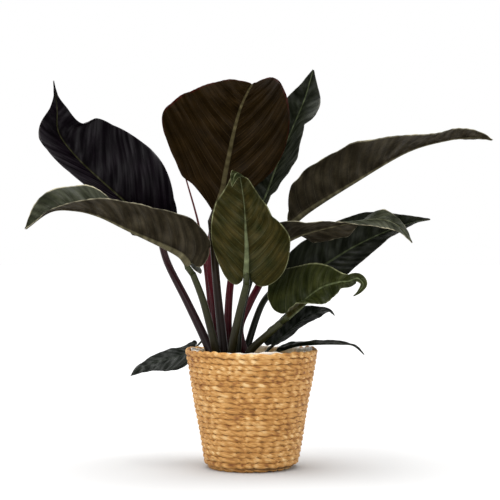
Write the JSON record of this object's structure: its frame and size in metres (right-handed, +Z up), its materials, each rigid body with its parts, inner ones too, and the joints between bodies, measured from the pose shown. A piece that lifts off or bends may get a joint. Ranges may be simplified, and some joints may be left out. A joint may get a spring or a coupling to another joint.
{
  "type": "potted philodendron",
  "caption": "Broad dark-leaved philodendron in a nursery pot, set in a tapered basket of coiled straw-coloured rope.",
  "frame": {"origin": "centre of the basket's flat underside, on the floor", "axes": "+Z up; -Y towards the viewer's front, where the front leaves are; +X to the right as seen from the front, towards the longest leaf"},
  "size_m": [0.7993, 0.4338, 0.6893],
  "materials": {
    "basket_rope": "matte woven plant fibre",
    "liner_film": "thin cloudy film",
    "pot_plastic": "satin moulded",
    "soil": "damp, crumbly mix of peat and bark",
    "stem": "dry, scarred",
    "leaf_purple_black": "glossy",
    "leaf_grey_brown": "satin",
    "leaf_dark_brown": "satin",
    "leaf_grey_green": "satin",
    "leaf_olive": "satin",
    "leaf_deep_green": "satin",
    "stalk_purple": "satin",
    "stalk_olive": "satin",
    "stalk_crimson": "glossy",
    "stalk_dark_green": "satin"
  },
  "bodies": {
    "root": {"basket": "basket_rope", "liner": "liner_film", "nursery_pot": "pot_plastic", "soil": "soil", "stem": "stem", "petiole_upper_left": "stalk_purple", "blade_upper_left": "leaf_purple_black", "petiole_lower_left": "stalk_olive", "blade_lower_left": "leaf_grey_brown", "petiole_tall_centre": "stalk_crimson", "blade_tall_centre": "leaf_dark_brown", "petiole_tall_right": "stalk_crimson", "blade_tall_right": "leaf_grey_green", "petiole_front_centre": "stalk_olive", "blade_front_centre": "leaf_olive", "petiole_long_right": "stalk_crimson", "blade_long_right": "leaf_grey_brown", "petiole_front_right": "stalk_olive", "blade_front_right": "leaf_olive", "petiole_right_near": "stalk_dark_green", "blade_right_near": "leaf_dark_brown", "petiole_right_far": "stalk_dark_green", "blade_right_far": "leaf_grey_green", "petiole_low_right": "stalk_dark_green", "blade_low_right": "leaf_deep_green", "petiole_low_left": "stalk_dark_green", "blade_low_left": "leaf_deep_green", "petiole_rim_right": "stalk_dark_green", "blade_rim_right": "leaf_deep_green", "petiole_back": "stalk_crimson", "blade_back": "leaf_grey_green", "new_leaf": "stalk_purple"}
  },
  "joints": []
}
